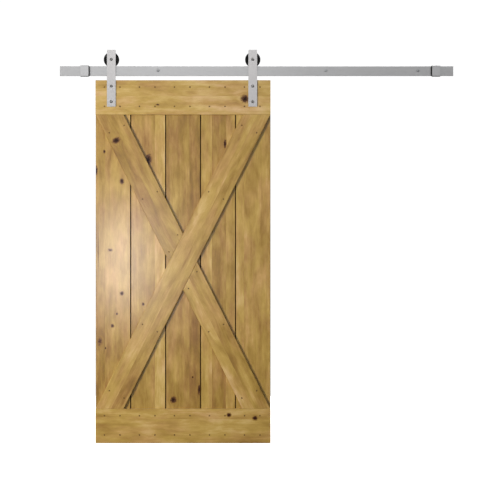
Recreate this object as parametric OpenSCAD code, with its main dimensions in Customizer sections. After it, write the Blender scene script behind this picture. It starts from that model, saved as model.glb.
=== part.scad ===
// Sliding barn door: a plank leaf with an X brace, hung by two strap hangers
// whose grooved wheels roll on a flat rail that stands off the wall.
//
// Frame: +X to the right seen from the room, +Y into the wall, +Z up. The origin
// is on the wall plane, on the axis of the middle lag bolt. Millimetres.

/* [Door leaf] */
// Width of the leaf
door_w = 1016; // [900:1:1060]
// Height of the leaf
door_h = 2108; // [1900:1:2200]
// Number of upright planks
plank_count = 5; // [4:1:6]
// Thickness of a plank
plank_t = 19; // [18:1:24]
// Thickness of the boards and braces on the front
trim_t = 19; // [16:1:22]
// Height of the top and bottom boards
trim_h = 200; // [170:1:240]
// Width of the X braces
brace_w = 146; // [120:1:160]

/* [Plank joints] */
// Open gap between two plank faces
reveal = 1.6; // [1:0.1:2.5]
// Chamfer on the front edges of the planks
plank_bevel = 2.6; // [1:0.1:3.5]
// Chamfer on the long front edges of the trim
trim_bevel = 1.6; // [0.5:0.1:2.5]
// How far a tongue stands out
tongue_len = 7; // [5:0.5:9]
// Thickness of a tongue
tongue_t = 6; // [5:0.5:7]

/* [Nails] */
// Radius of a nail shank
nail_r = 1.6; // [1.2:0.1:2]
// Radius of a nail head
nail_head_r = 3; // [2.5:0.1:4]
// Depth of the head below the wood
nail_sink = 1.5; // [1:0.1:2.5]
// Length of a nail below its head
nail_len = 31; // [25:1:33]

/* [Rail] */
// Length of the rail
rail_len = 2286; // [2200:1:2400]
// Height of the rail
rail_h = 57; // [50:1:60]
// Thickness of the rail
rail_t = 6; // [5:0.5:7]
// Length of rail left of the middle lag bolt
rail_left = 1125; // [1110:1:1140]
// Depth of the lag bolts below the rail's top edge
lag_drop = 24; // [22:1:30]
// Step from the middle lag bolt to the next on the left
lag_step_left = 554; // [500:1:600]
// Step from there to the left end bolt
lag_end_step_left = 267; // [200:1:300]
// Step from the middle lag bolt to the next on the right
lag_step_right = 421; // [400:1:500]
// Step from there to the right end bolt
lag_end_step_right = 535; // [450:1:550]
// Length of a lag bolt's thread, inside the wall
lag_bite = 52; // [40:1:70]

/* [Stops] */
// Length of a stop block along the rail
stop_len = 48; // [40:1:60]
// Wall of a stop block above and below the rail
stop_wall = 3.5; // [3:0.5:6]
// Rail left over outside the left stop
stop_left_inset = 120; // [60:1:140]
// Rail left over outside the right stop
stop_right_inset = 76; // [60:1:140]
// Thickness of a rubber bumper
bumper_t = 6; // [4:0.5:10]

/* [Hangers] */
// Left edge of the leaf, from the rail's left end
door_from_end = 208; // [200:1:300]
// Centre of the left hanger, from the leaf's left edge
hanger_left_inset = 92; // [85:1:110]
// Centre of the right hanger, from the leaf's right edge
hanger_right_inset = 103; // [85:1:110]
// Width of a strap
strap_w = 50.8; // [48:0.2:52]
// Thickness of a strap
strap_t = 6; // [5:0.5:7]
// Strap above the top of the leaf
strap_rise = 176; // [170:1:180]
// Strap below the top of the leaf
strap_drop = 154; // [150:1:170]
// Gap from the rail down to the leaf
door_gap = 25; // [22:1:30]

/* [Wheels] */
// Rolling radius, at the bottom of the groove
tread_r = 38; // [36:0.5:40]
// Height of the flanges beside the rail
flange_h = 6.5; // [5:0.5:7]
// Width of a wheel
wheel_w = 22; // [22:0.5:23]
// Gap between the back of the leaf and the wall
wall_gap = 12; // [10:1:14]

/* [Hidden] */
$fn = 64;

// Clearances: tight holes, loose holes, and pieces that slide over each other
fit = 0.05;
loose = 0.2;
slide_fit = 0.3;
// How far cuts and joined shapes run past a face
past = 1;
// The wheels stay this far off the rail, so that rolling surfaces never overlap
roll_gap = 0.3;

// Heights, with the lag bolts at zero
rail_top = lag_drop;
rail_bottom = rail_top - rail_h;
door_top = rail_bottom - door_gap;
door_bottom = door_top - door_h;
axle_z = rail_top + tread_r;

// Depths, with the wall at zero and the room at negative y
plank_back = -wall_gap;
plank_front = plank_back - plank_t;
trim_front = plank_front - trim_t;
strap_front = trim_front - strap_t;
wheel_strap_gap = 2;
wheel_y = trim_front + wheel_strap_gap + wheel_w / 2;
rail_back = wheel_y + rail_t / 2;
rail_front = wheel_y - rail_t / 2;

// Places along the rail
rail_x0 = -rail_left;
rail_x1 = rail_x0 + rail_len;
lag_x = [
    -lag_step_left - lag_end_step_left, -lag_step_left, 0,
    lag_step_right, lag_step_right + lag_end_step_right
];
door_x0 = rail_x0 + door_from_end;
door_x1 = door_x0 + door_w;
hanger_x = [door_x0 + hanger_left_inset, door_x1 - hanger_right_inset];
stop_x = [rail_x0 + stop_left_inset, rail_x1 - stop_right_inset - stop_len];

// Lag bolts, their washers and the standoffs behind the rail
lag_shank_r = 4;
lag_thread_r = 3.5;
lag_hole_r = 4.5;
lag_tip = 8;
lag_point_r = 0.5;
lag_head_af = 14.3;
lag_head_h = 6.5;
lag_washer_r = 9;
lag_washer_t = 1.5;
standoff_r = 12.5;
standoff_bevel = 1;
rail_bevel = 0.8;

// Stop blocks
stop_front_wall = 17;
stop_back_wall = 10;
stop_bevel = 2;
set_screw_r = 3;
set_screw_z = [10, -18];
set_socket_af = 3;
set_socket_depth = 3;
set_screw_inset = 0.5;
bumper_w = 16;
bumper_bevel = 1.5;

// Planks
plank_pitch = door_w / plank_count;
back_bevel = 1.2;

// Nails, measured from the left of each plank and from the top of each board
nail_head_t = 1.5;
nail_margin = 10;
nail_column_shares = [0.256, 0.7];
nail_rows = [40, trim_h - 48];

// The X brace runs corner to corner between the two boards
panel_h = door_h - 2 * trim_h;
brace_tilt = acos(brace_w / norm([door_w, panel_h])) - atan2(panel_h, door_w);
brace_reach = norm([door_w, panel_h]);
brace_gap = 0.3;
// Nail pairs along a brace, as shares of the panel's height from the crossing
brace_nail_shares = [0.252, 0.504];
// Their distance across the brace, from its middle
brace_nail_side = brace_w / 2 - 25;
// Nails beside the butt joints, along and across the long brace
butt_nail_runs = [15, 125];
butt_nail_side = brace_w / 2 + 25;

// Bolts that hold the straps, and the wheel axles
bolt_r = 5;
bolt_head_r = 8.75;
bolt_head_rim = 1;
bolt_head_dome = 4.5;
bolt_socket_af = 6;
bolt_socket_depth = 3;
bolt_hole_r = 5.5;
bolt_drops = [35, 125];
door_bolt_len = 34;
barrel_r = 7;
barrel_hole_r = 7.1;
barrel_len = 30;
barrel_head_r = 11;
barrel_head_t = 2;
barrel_floor = 4;
barrel_slot_w = 1.8;
barrel_slot_d = 1;
strap_corner = 2.5;

// Ball bearing in each wheel, and the axle stack behind the strap
bearing_r = 15;
bearing_bore_r = 5;
bearing_w = 9;
outer_land_r = 11.6;
inner_land_r = 8.4;
ball_r = 2.38;
ball_circle_r = 10;
ball_count = 8;
race_fit = 0.05;
cage_w = 6.4;
cage_t = 1;
shield_t = 0.4;
shield_inset = 0.3;
spacer_r = 7.5;
axle_washer_r = 8;
axle_washer_t = 1.5;
axle_nut_af = 16;
axle_nut_h = 8;
axle_nut_collar_r = 7.2;
axle_nut_collar_h = 2;
axle_tail = 1.5;
bearing_back = wheel_y + bearing_w / 2;
axle_nut_y = bearing_back + axle_washer_t;
axle_end = axle_nut_y + axle_nut_h + axle_nut_collar_h + axle_tail;

// Wheel section, as radii and as half widths
flange_r = tread_r + flange_h;
groove_half = rail_t / 2 + 1.2;
groove_flare = 1.6;
rim_r = tread_r - 3.5;
hub_r = 20;
web_recess = 3;
web_slope = 1.5;
rim_bevel = 2;
shoulder_r = 12;
circlip_t = 1.3;
circlip_bite = 0.8;
circlip_ring_w = 3;
circlip_mouth = 50;

LEFT = 0;
RIGHT = 1;

// ---------------------------------------------------------------- shapes

// Round bar along +Y between two depths
module bar_y(y0, y1, r, sides = 64) {
    translate([0, y0, 0]) rotate([-90, 0, 0]) cylinder(h = y1 - y0, r = r, $fn = sides);
}

// Round tube along +Y
module tube_y(y0, y1, r, bore) {
    difference() {
        bar_y(y0, y1, r);
        bar_y(y0 - past, y1 + past, bore);
    }
}

// Hexagonal bar along +Y, by its width across flats
module hex_y(y0, y1, flats) {
    bar_y(y0, y1, flats / 2 / cos(30), 6);
}

// Turns a section of radius and height about +Y, with its height towards the room
module turned_y(y) {
    translate([0, y, 0]) rotate([90, 0, 0]) rotate_extrude($fn = 128) children();
}

// Section of a board, its front edges chamfered: x across the board, y its depth
module board_section(w, t, bevel) {
    polygon([
        [-w / 2, 0], [w / 2, 0], [w / 2, -t + bevel], [w / 2 - bevel, -t],
        [-w / 2 + bevel, -t], [-w / 2, -t + bevel]
    ]);
}

// Rectangle with chamfered corners, about its middle
module bevelled_rect(w, h, bevel) {
    polygon([
        [-w / 2 + bevel, -h / 2], [w / 2 - bevel, -h / 2], [w / 2, -h / 2 + bevel],
        [w / 2, h / 2 - bevel], [w / 2 - bevel, h / 2], [-w / 2 + bevel, h / 2],
        [-w / 2, h / 2 - bevel], [-w / 2, -h / 2 + bevel]
    ]);
}

// Rectangle with round corners, about its middle
module rounded_rect(w, h, r) {
    square([w - 2 * r, h], center = true);
    square([w, h - 2 * r], center = true);
    for (sx = [-1, 1], sy = [-1, 1])
        translate([sx * (w / 2 - r), sy * (h / 2 - r)]) circle(r);
}

// Bar along +X from x0, made of a section whose x is depth and whose y is height
module bar_x(x0, length) {
    translate([x0, 0, 0]) rotate([90, 0, 90]) linear_extrude(length) children();
}

// Domed screw head with a hexagon socket, its seat at y = 0 and its dome to the room
module button_head() {
    dome_r = (bolt_head_r * bolt_head_r + bolt_head_dome * bolt_head_dome)
        / (2 * bolt_head_dome);
    head_h = bolt_head_rim + bolt_head_dome;
    difference() {
        intersection() {
            bar_y(-head_h, 0, bolt_head_r);
            translate([0, -head_h + dome_r, 0]) rotate([90, 0, 0]) sphere(dome_r, $fn = 96);
        }
        hex_y(-head_h - past, -head_h + bolt_socket_depth, bolt_socket_af);
    }
}

// ---------------------------------------------------------------- track

// Flat steel rail with its lag bolt holes
module rail() {
    color("#b9b8b5") difference() {
        bar_x(rail_x0, rail_len)
            translate([wheel_y, rail_top - rail_h / 2]) bevelled_rect(rail_t, rail_h, rail_bevel);
        for (x = lag_x) translate([x, 0, 0]) bar_y(rail_front - past, rail_back + past, lag_hole_r);
    }
}

// Turned spacer between the rail and the wall
module standoff(i) {
    color("#a9a8a6") translate([lag_x[i], 0, 0]) turned_y(0) polygon([
        [lag_hole_r, 0], [standoff_r - standoff_bevel, 0], [standoff_r, standoff_bevel],
        [standoff_r, -rail_back - standoff_bevel], [standoff_r - standoff_bevel, -rail_back],
        [lag_hole_r, -rail_back]
    ]);
}

// Lag bolt: hexagon head, plain shank through the standoff, thread inside the wall
module lag_bolt(i) {
    seat = rail_front - lag_washer_t;
    color("#c4c3c0") translate([lag_x[i], 0, 0]) {
        intersection() {
            hex_y(seat - lag_head_h, seat, lag_head_af);
            translate([0, seat - lag_head_h, 0]) rotate([-90, 0, 0])
                cylinder(h = lag_head_h, r1 = lag_head_af / 2, r2 = lag_head_af / 2 + 2 * lag_head_h);
        }
        bar_y(seat - past, 0, lag_shank_r);
        bar_y(-past, lag_bite, lag_thread_r);
        translate([0, lag_bite, 0]) rotate([-90, 0, 0])
            cylinder(h = lag_tip, r1 = lag_thread_r, r2 = lag_point_r);
    }
}

// Flat washers under the lag bolt heads
module lag_washers() {
    color("#c4c3c0") for (x = lag_x) translate([x, 0, 0])
        tube_y(rail_front - lag_washer_t, rail_front, lag_washer_r, lag_shank_r + slide_fit);
}

// Steel sleeve that is clamped on the rail to end the door's travel
module stop_block(side) {
    slot_t = rail_t + 2 * slide_fit;
    slot_h = rail_h + 2 * slide_fit;
    depth = stop_front_wall + rail_t + stop_back_wall;
    mid_y = wheel_y + (stop_back_wall - stop_front_wall) / 2;
    mid_z = rail_top - rail_h / 2;
    color("#b4b3b0") difference() {
        bar_x(stop_x[side], stop_len) translate([mid_y, mid_z])
            bevelled_rect(depth, rail_h + 2 * stop_wall, stop_bevel);
        translate([stop_x[side] - past, wheel_y - slot_t / 2, mid_z - slot_h / 2])
            cube([stop_len + 2 * past, slot_t, slot_h]);
        for (z = set_screw_z) translate([stop_x[side] + stop_len / 2, 0, z])
            bar_y(rail_back - past, rail_back + stop_back_wall + past, set_screw_r + fit);
    }
}

// Grub screws that lock both stop blocks on the rail, from behind
module stop_set_screws() {
    screw_end = rail_back + stop_back_wall - set_screw_inset;
    color("#4a4a4c") for (x = stop_x, z = set_screw_z)
        translate([x + stop_len / 2, 0, z]) difference() {
            bar_y(rail_back, screw_end, set_screw_r);
            hex_y(screw_end - set_socket_depth, screw_end + past, set_socket_af);
        }
}

// Rubber pad on the inner face of a stop block, where a strap's edge lands
module bumper(side) {
    inner_x = side == LEFT ? stop_x[LEFT] + stop_len : stop_x[RIGHT] - bumper_t;
    color("#1f1f1f") bar_x(inner_x, bumper_t)
        translate([rail_front - slide_fit - bumper_w / 2, rail_top - rail_h / 2])
            bevelled_rect(bumper_w, rail_h, bumper_bevel);
}

// ---------------------------------------------------------------- door leaf

// Section of plank i: tongue on its right, groove on its left, plain at the leaf's edges
module plank_section(i) {
    first = i == 0;
    last = i == plank_count - 1;
    left = i * plank_pitch + (first ? 0 : reveal / 2);
    right = (i + 1) * plank_pitch - (last ? 0 : reveal / 2);
    mid = -plank_t / 2;
    tongue = tongue_t / 2;
    groove = tongue + loose;
    groove_side = first ? [] : [
        [left, mid - groove], [left + tongue_len, mid - groove],
        [left + tongue_len, mid + groove], [left, mid + groove]
    ];
    tongue_side = last ? [] : [
        [right, mid + tongue], [right + tongue_len, mid + tongue],
        [right + tongue_len, mid - tongue], [right, mid - tongue]
    ];
    polygon(concat(
        [[left + plank_bevel, -plank_t], [left, -plank_t + plank_bevel]], groove_side,
        [[left, -back_bevel], [left + back_bevel, 0], [right - back_bevel, 0],
         [right, -back_bevel]], tongue_side,
        [[right, -plank_t + plank_bevel], [right - plank_bevel, -plank_t]]
    ));
}

// Places of the nails in one board, seen from the room, from the leaf's lower left corner
function board_nails(board_top) = [
    for (i = [0:plank_count - 1], c = nail_column_shares, r = nail_rows)
        [(i + c) * plank_pitch, board_top - r]
];
top_nails = board_nails(door_h);
bottom_nails = board_nails(trim_h);

// A place on a brace: lean 1 rises to the right and -1 to the left
function on_brace(lean, run, side) = [
    door_w / 2 + lean * run * sin(brace_tilt) + side * cos(brace_tilt),
    door_h / 2 + run * cos(brace_tilt) - lean * side * sin(brace_tilt)
];
brace_nails = concat(
    [for (lean = [-1, 1], end = [-1, 1], share = brace_nail_shares, side = [-1, 1])
        on_brace(lean, end * share * panel_h, side * brace_nail_side)],
    [for (end = [-1, 1], run = butt_nail_runs) on_brace(1, end * run, -end * butt_nail_side)]
);
all_nails = concat(top_nails, bottom_nails, brace_nails);

// Puts its children at places on the leaf
module at_places(places) {
    for (p = places) translate([door_x0 + p[0], 0, door_bottom + p[1]]) children();
}

// One nail, its head sunk below the front
module nail() {
    seat = trim_front + nail_sink + nail_head_t;
    bar_y(seat - nail_head_t, seat, nail_head_r, 32);
    bar_y(seat - fit, seat + nail_len, nail_r, 32);
}

// The hole that a nail makes, open to the room
module nail_hole() {
    seat = trim_front + nail_sink + nail_head_t;
    bar_y(trim_front - past, seat, nail_head_r + fit, 32);
    bar_y(seat - past, seat + nail_len + fit, nail_r + fit, 32);
}

// Holes for the barrel nuts of both hangers
module strap_bolt_holes() {
    for (x = hanger_x, d = bolt_drops) translate([x, 0, door_top - d])
        bar_y(trim_front - past, plank_back + past, barrel_hole_r);
}

// Upright tongue and groove plank
module plank(i) {
    reach = [i * plank_pitch - nail_margin, (i + 1) * plank_pitch + nail_margin];
    inside = [for (p = all_nails) if (p[0] > reach[0] && p[0] < reach[1]) p];
    color("#b5965c") difference() {
        translate([door_x0, plank_back, door_bottom])
            linear_extrude(door_h) plank_section(i);
        at_places(inside) nail_hole();
        strap_bolt_holes();
    }
}

// Board across the leaf, at the top or the bottom
module cross_board(height) {
    translate([0, 0, height + trim_h / 2])
        bar_x(door_x0, door_w) translate([plank_front, 0]) rotate(-90)
            board_section(trim_h, trim_t, trim_bevel);
}

module top_board() {
    color("#ba9a60") difference() {
        cross_board(door_top - trim_h);
        at_places(top_nails) nail_hole();
        strap_bolt_holes();
    }
}

module bottom_board() {
    color("#ba9a60") difference() {
        cross_board(door_bottom);
        at_places(bottom_nails) nail_hole();
    }
}

// Turns its children to a brace's slope, about the crossing
module to_brace(lean) {
    translate([(door_x0 + door_x1) / 2, plank_front, (door_top + door_bottom) / 2])
        rotate([0, lean * brace_tilt, 0]) children();
}

// Full length brace stock, cut to the panel between the two boards
module brace_stock(lean, low_share, high_share) {
    foot = door_bottom + trim_h + brace_gap;
    span = panel_h - 2 * brace_gap;
    intersection() {
        to_brace(lean) translate([0, 0, -brace_reach / 2])
            linear_extrude(brace_reach) board_section(brace_w, trim_t, trim_bevel);
        translate([door_x0, trim_front - past, foot + low_share * span])
            cube([door_w, trim_t + 2 * past, (high_share - low_share) * span]);
    }
}

module brace_long() {
    color("#b8975d") difference() {
        brace_stock(1, 0, 1);
        at_places(brace_nails) nail_hole();
    }
}

// Half brace that butts against the long one
module brace_half(low_share, high_share) {
    color("#b39157") difference() {
        brace_stock(-1, low_share, high_share);
        to_brace(1) translate([-brace_w / 2 - brace_gap, -trim_t - past, -brace_reach / 2])
            cube([brace_w + 2 * brace_gap, trim_t + 2 * past, brace_reach]);
        at_places(brace_nails) nail_hole();
    }
}

module nails(places) {
    color("#4b3a26") at_places(places) nail();
}

// ---------------------------------------------------------------- hangers

// Flat steel strap with the axle hole and two bolt holes
module strap(side) {
    top = door_top + strap_rise;
    height = strap_rise + strap_drop;
    color("#bdbcba") translate([hanger_x[side], 0, 0]) difference() {
        translate([0, trim_front, top - height / 2]) rotate([90, 0, 0])
            linear_extrude(strap_t) rounded_rect(strap_w, height, strap_corner);
        for (z = concat([axle_z], [for (d = bolt_drops) door_top - d]))
            translate([0, 0, z]) bar_y(strap_front - past, trim_front + past, bolt_hole_r);
    }
}

// The two bolts that hold a strap on the leaf
module door_bolts(side) {
    color("#cfcecb") for (d = bolt_drops)
        translate([hanger_x[side], strap_front, door_top - d]) {
            button_head();
            bar_y(-fit, door_bolt_len, bolt_r);
        }
}

// Barrel nuts let in from the back of the leaf, with flat slotted heads
module barrel_nuts(side) {
    color("#cfcecb") for (d = bolt_drops)
        translate([hanger_x[side], plank_back, door_top - d]) difference() {
            union() {
                bar_y(-barrel_len, fit, barrel_r);
                bar_y(0, barrel_head_t, barrel_head_r);
            }
            bar_y(-barrel_len - past, -barrel_floor, bolt_r + fit);
            translate([-barrel_head_r, barrel_head_t - barrel_slot_d, -barrel_slot_w / 2])
                cube([2 * barrel_head_r, 2 * barrel_slot_d, barrel_slot_w]);
        }
}

// Axle bolt through strap, spacer, bearing, washer and nut
module axle_bolt(side) {
    color("#cfcecb") translate([hanger_x[side], 0, axle_z]) {
        translate([0, strap_front, 0]) button_head();
        bar_y(strap_front - fit, axle_end, bolt_r - fit);
    }
}

// Sleeve that holds the bearing off the strap
module axle_spacer(side) {
    color("#9d9c9a") translate([hanger_x[side], 0, axle_z])
        tube_y(trim_front, wheel_y - bearing_w / 2, spacer_r, bolt_r + fit);
}

module axle_washer(side) {
    color("#c4c3c0") translate([hanger_x[side], 0, axle_z])
        tube_y(bearing_back, axle_nut_y, axle_washer_r, bolt_r + loose);
}

// Lock nut with a round collar
module axle_nut(side) {
    color("#c4c3c0") translate([hanger_x[side], 0, axle_z]) difference() {
        union() {
            hex_y(axle_nut_y, axle_nut_y + axle_nut_h, axle_nut_af);
            bar_y(axle_nut_y + past, axle_nut_y + axle_nut_h + axle_nut_collar_h, axle_nut_collar_r);
        }
        bar_y(axle_nut_y - past, axle_end + past, bolt_r);
    }
}

// ---------------------------------------------------------------- wheels

// Grooved wheel with recessed webs and a bearing seat that is open to the back
module wheel(side) {
    h = wheel_w / 2;
    web = h - web_recess;
    seat = bearing_w / 2;
    clip_front = -seat - 2 * fit;
    clip_back = clip_front - circlip_t;
    color("#1d1d1e") translate([hanger_x[side], 0, axle_z]) turned_y(wheel_y) polygon([
        [shoulder_r, h], [hub_r, h], [hub_r + web_slope, web], [rim_r - web_slope, web],
        [rim_r, h], [flange_r - rim_bevel, h], [flange_r, h - rim_bevel],
        [flange_r, groove_half + groove_flare], [tread_r - roll_gap, groove_half],
        [tread_r - roll_gap, -groove_half], [flange_r, -groove_half - groove_flare],
        [flange_r, -h + rim_bevel], [flange_r - rim_bevel, -h], [rim_r, -h],
        [rim_r - web_slope, -web], [hub_r + web_slope, -web], [hub_r, -h], [bearing_r, -h],
        [bearing_r, clip_back], [bearing_r + circlip_bite, clip_back],
        [bearing_r + circlip_bite, clip_front], [bearing_r, clip_front],
        [bearing_r, seat], [shoulder_r, seat]
    ]);
}

// Spring ring that keeps the bearing in its seat
module circlip(side) {
    outer = bearing_r + circlip_bite - fit;
    half = circlip_mouth / 2;
    color("#3a3a3c") translate([hanger_x[side], bearing_back + 2 * fit, axle_z]) difference() {
        tube_y(0, circlip_t, outer, outer - circlip_ring_w);
        rotate([-90, 0, 0]) linear_extrude(3 * circlip_t, center = true) polygon([
            [0, 0], 2 * outer * [-sin(half), cos(half)], 2 * outer * [sin(half), cos(half)]
        ]);
    }
}

// The channel in which the balls run, as a solid ring
module race_channel() {
    turned_y(0) translate([ball_circle_r, 0]) circle(ball_r + race_fit);
}

module bearing_outer(side) {
    color("#8c8c8e") translate([hanger_x[side], wheel_y, axle_z]) difference() {
        tube_y(-bearing_w / 2, bearing_w / 2, bearing_r - fit, outer_land_r);
        race_channel();
    }
}

module bearing_inner(side) {
    color("#8c8c8e") translate([hanger_x[side], wheel_y, axle_z]) difference() {
        tube_y(-bearing_w / 2, bearing_w / 2, inner_land_r, bearing_bore_r);
        race_channel();
    }
}

// Thin steel covers on both sides of the bearing, held by the outer ring
module bearing_shields(side) {
    face = bearing_w / 2 - shield_inset;
    color("#77777a") translate([hanger_x[side], wheel_y, axle_z]) for (flip = [0, 1])
        mirror([0, flip, 0]) tube_y(face - shield_t, face, outer_land_r, inner_land_r + loose);
}

// Turns its children to each ball's place round the axle
module each_ball() {
    for (k = [0:ball_count - 1]) rotate([0, k * 360 / ball_count, 0]) children();
}

module bearing_balls(side) {
    color("#d0d0d2") translate([hanger_x[side], wheel_y, axle_z])
        each_ball() translate([ball_circle_r, 0, 0]) sphere(ball_r, $fn = 32);
}

// Ring with a drilled pocket for each ball
module bearing_cage(side) {
    color("#a08a4c") translate([hanger_x[side], wheel_y, axle_z]) difference() {
        tube_y(-cage_w / 2, cage_w / 2, ball_circle_r + cage_t / 2, ball_circle_r - cage_t / 2);
        each_ball() rotate([0, 90, 0])
            cylinder(h = ball_circle_r + cage_t, r = ball_r + fit, $fn = 32);
    }
}

// ---------------------------------------------------------------- nodes

rail();
standoff(0);  // standoff_1
standoff(1);  // standoff_2
standoff(2);  // standoff_3
standoff(3);  // standoff_4
standoff(4);  // standoff_5
lag_bolt(0);  // lag_bolt_1
lag_bolt(1);  // lag_bolt_2
lag_bolt(2);  // lag_bolt_3
lag_bolt(3);  // lag_bolt_4
lag_bolt(4);  // lag_bolt_5
lag_washers();
stop_block(LEFT);  // stop_left
stop_block(RIGHT);  // stop_right
bumper(LEFT);  // bumper_left
bumper(RIGHT);  // bumper_right
stop_set_screws();
plank(0);  // plank_1
plank(1);  // plank_2
plank(2);  // plank_3
plank(3);  // plank_4
plank(4);  // plank_5
top_board();
bottom_board();
brace_long();
brace_half(0.5, 1);  // brace_upper
brace_half(0, 0.5);  // brace_lower
nails(top_nails);  // nails_top_board
nails(bottom_nails);  // nails_bottom_board
nails(brace_nails);  // nails_braces
strap(LEFT);  // strap_left
strap(RIGHT);  // strap_right
door_bolts(LEFT);  // door_bolts_left
door_bolts(RIGHT);  // door_bolts_right
barrel_nuts(LEFT);  // barrel_nuts_left
barrel_nuts(RIGHT);  // barrel_nuts_right
axle_bolt(LEFT);  // axle_bolt_left
axle_bolt(RIGHT);  // axle_bolt_right
axle_spacer(LEFT);  // axle_spacer_left
axle_spacer(RIGHT);  // axle_spacer_right
axle_washer(LEFT);  // axle_washer_left
axle_washer(RIGHT);  // axle_washer_right
axle_nut(LEFT);  // axle_nut_left
axle_nut(RIGHT);  // axle_nut_right
bearing_inner(LEFT);  // bearing_inner_left
bearing_inner(RIGHT);  // bearing_inner_right
wheel(LEFT);  // wheel_left
wheel(RIGHT);  // wheel_right
bearing_outer(LEFT);  // bearing_outer_left
bearing_outer(RIGHT);  // bearing_outer_right
bearing_shields(LEFT);  // bearing_shields_left
bearing_shields(RIGHT);  // bearing_shields_right
circlip(LEFT);  // circlip_left
circlip(RIGHT);  // circlip_right
bearing_balls(LEFT);  // bearing_balls_left
bearing_balls(RIGHT);  // bearing_balls_right
bearing_cage(LEFT);  // bearing_cage_left
bearing_cage(RIGHT);  // bearing_cage_right
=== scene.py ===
"""Looks of a sliding barn door: plank leaf, strap hangers, grooved wheels, rail and stops.

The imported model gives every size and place. This script dresses its parts, eases their edges,
remakes the turned and threaded ones as finer meshes, and sets the floor, light and camera.
"""

import logging
from dataclasses import dataclass, field
from enum import Enum
from math import acos, atan2, cos, hypot, pi, radians, sin, tan

import bmesh
import bpy
from bmesh.types import BMesh, BMVert
from bpy.types import Material, Node, NodeSocket, NodeTree, Object
from mathutils import Matrix, Vector


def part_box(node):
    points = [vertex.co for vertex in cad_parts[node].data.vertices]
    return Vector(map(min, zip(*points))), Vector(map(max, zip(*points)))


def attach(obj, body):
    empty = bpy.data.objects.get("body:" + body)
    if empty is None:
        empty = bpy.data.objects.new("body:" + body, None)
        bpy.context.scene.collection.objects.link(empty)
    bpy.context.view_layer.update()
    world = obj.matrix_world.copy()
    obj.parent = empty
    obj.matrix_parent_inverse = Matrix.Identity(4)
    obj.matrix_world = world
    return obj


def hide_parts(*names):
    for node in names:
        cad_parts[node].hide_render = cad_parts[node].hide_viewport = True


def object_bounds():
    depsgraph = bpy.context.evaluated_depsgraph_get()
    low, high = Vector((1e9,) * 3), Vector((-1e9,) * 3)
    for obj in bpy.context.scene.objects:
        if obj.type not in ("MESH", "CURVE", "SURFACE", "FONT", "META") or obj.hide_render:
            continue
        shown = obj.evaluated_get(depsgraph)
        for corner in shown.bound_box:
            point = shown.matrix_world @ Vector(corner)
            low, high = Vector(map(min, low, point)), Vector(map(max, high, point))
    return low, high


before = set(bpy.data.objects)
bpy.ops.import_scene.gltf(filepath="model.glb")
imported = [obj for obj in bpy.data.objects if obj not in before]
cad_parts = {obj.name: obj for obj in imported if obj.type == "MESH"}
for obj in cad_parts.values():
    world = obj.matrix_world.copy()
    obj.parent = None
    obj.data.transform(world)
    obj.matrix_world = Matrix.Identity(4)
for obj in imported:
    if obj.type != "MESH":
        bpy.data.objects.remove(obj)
CAD_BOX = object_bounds()

log = logging.getLogger("barn_door")
MM = 0.001
# Edges sharper than this stay crisp on turned pieces
CREASE = radians(32)
Colour = tuple[float, float, float, float]
Size = tuple[float, float]
# A value, an output socket, or a node whose first output is meant
Source = float | tuple | Vector | NodeSocket | Node
Inputs = dict[str | int, Source]


class Side(Enum):
    """The two hangers, seen from the room."""

    LEFT = "left"
    RIGHT = "right"


class Body(Enum):
    """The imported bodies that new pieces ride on, apart from the wheels."""

    TRACK = "track"
    DOOR = "door"


class Grain(Enum):
    """Which way a board's grain runs."""

    UPRIGHT = "upright"
    LEVEL = "level"
    RISING = "rising to the right"
    FALLING = "falling to the right"


class Lay(Enum):
    """Which way the marks on a metal surface run."""

    LENGTHWAYS = "along the rail"
    UPRIGHT = "up and down"
    TURNED = "round the part's axis"


class Slot(Enum):
    """Names of the record's material slots for new pieces; no piece here is given one."""

    FIXING = "fixing_steel"
    BOLT = "bolt_steel"
    WHEEL = "wheel_nylon"
    NAIL = "nail_steel"


# ---- nodes


def linear(code: str) -> Colour:
    """Turn an sRGB colour into linear light.

    Args:
        code: Six hex digits after a hash sign.

    Returns:
        Red, green, blue and alpha.
    """
    parts = [int(code[i : i + 2], 16) / 255 for i in (1, 3, 5)]
    return (*(c / 12.92 if c <= 0.04045 else ((c + 0.055) / 1.055) ** 2.4 for c in parts), 1.0)


def new_material(name: str) -> tuple[Material, NodeTree, Node]:
    """Start a node material.

    Args:
        name: The real material's name.

    Returns:
        The material, its node tree and its surface shader.
    """
    material = bpy.data.materials.new(name)
    material.use_nodes = True
    tree = material.node_tree
    return material, tree, next(n for n in tree.nodes if n.type == "BSDF_PRINCIPLED")


def wire(tree: NodeTree, node: Node, inputs: Inputs) -> None:
    """Set a node's inputs.

    Args:
        tree: The node's tree.
        node: The node.
        inputs: What goes into each named or numbered input.
    """
    for key, source in inputs.items():
        if isinstance(source, Node):
            source = source.outputs[0]
        if isinstance(source, NodeSocket):
            tree.links.new(source, node.inputs[key])
        else:
            node.inputs[key].default_value = source


def add(
    tree: NodeTree,
    kind: str,
    inputs: Inputs | None = None,
    stops: tuple[tuple[float, Colour], ...] = (),
    **settings: object,
) -> Node:
    """Add a node with its settings, values and links.

    Args:
        tree: The tree that gets the node.
        kind: The node's type, without its ShaderNode prefix.
        inputs: What goes into each named or numbered input.
        stops: Places and colours of a colour ramp.
        settings: The node's own properties.

    Returns:
        The new node.
    """
    node = tree.nodes.new("ShaderNode" + kind)
    for name, value in settings.items():
        setattr(node, name, value)
    wire(tree, node, inputs or {})
    if stops:
        ramp = node.color_ramp
        while len(ramp.elements) < len(stops):
            ramp.elements.new(1.0)
        for element, (place, colour) in zip(ramp.elements, stops):
            element.position = place
            element.color = colour
    return node


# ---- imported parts


def corners(node: str) -> tuple[Vector, Vector]:
    """Lowest and highest corner of a CAD node, in metres."""
    low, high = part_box(node)
    return Vector(low), Vector(high)


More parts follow.
